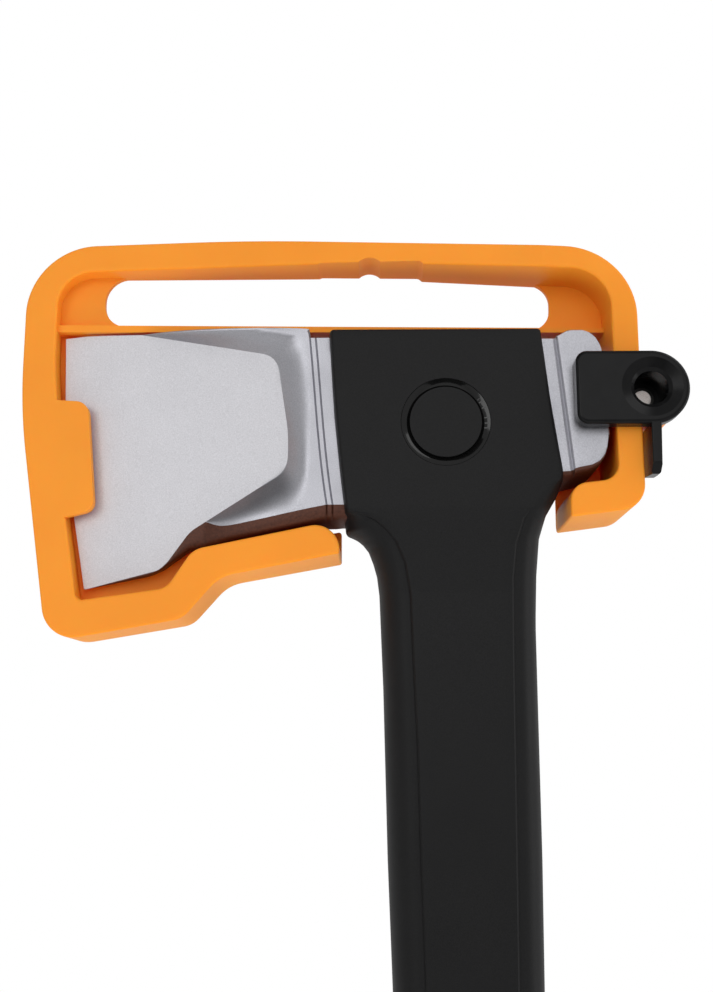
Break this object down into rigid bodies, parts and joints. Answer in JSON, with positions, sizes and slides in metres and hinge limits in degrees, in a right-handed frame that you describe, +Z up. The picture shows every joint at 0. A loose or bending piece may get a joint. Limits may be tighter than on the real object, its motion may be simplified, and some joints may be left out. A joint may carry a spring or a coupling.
{
  "type": "felling axe",
  "caption": "Felling axe with a coated steel head, a black composite handle and a plastic carry sheath held on by a turning lock.",
  "frame": {"origin": "top of the hanging notch under the carry handle, in the middle plane of the axe", "axes": "+X from the cutting edge to the poll, +Z up along the handle towards the head, -Y towards the side that carries the lock"},
  "size_m": [0.2307, 0.0412, 0.7532],
  "materials": {
    "head_steel": "silver-grey satin low-friction coating",
    "handle_composite": "black fibre composite, fine matt grain",
    "badge_gloss": "black, semi-gloss",
    "grip_rubber": "black soft overmould",
    "sheath_plastic": "orange moulded, fine satin grain",
    "lock_plastic": "black moulded, satin",
    "rivet_steel": "plain steel"
  },
  "bodies": {
    "axe": {"axe_head": "head_steel", "handle_shell": "handle_composite", "badge_ring_front": "badge_gloss", "badge_ring_back": "badge_gloss", "grip_sleeve": "grip_rubber", "end_cap": "handle_composite", "sheath_body": "sheath_plastic", "lock_rivet": "rivet_steel", "lock_washer": "rivet_steel"},
    "lock": {"lock_lever": "lock_plastic"}
  },
  "joints": [
    {"name": "lock_turn", "type": "hinge", "parent": "axe", "child": "lock", "pos_m": [0.0948, -0.0205, -0.0502], "axis": [0, -1, 0], "range_deg": [0, 90]}
  ]
}
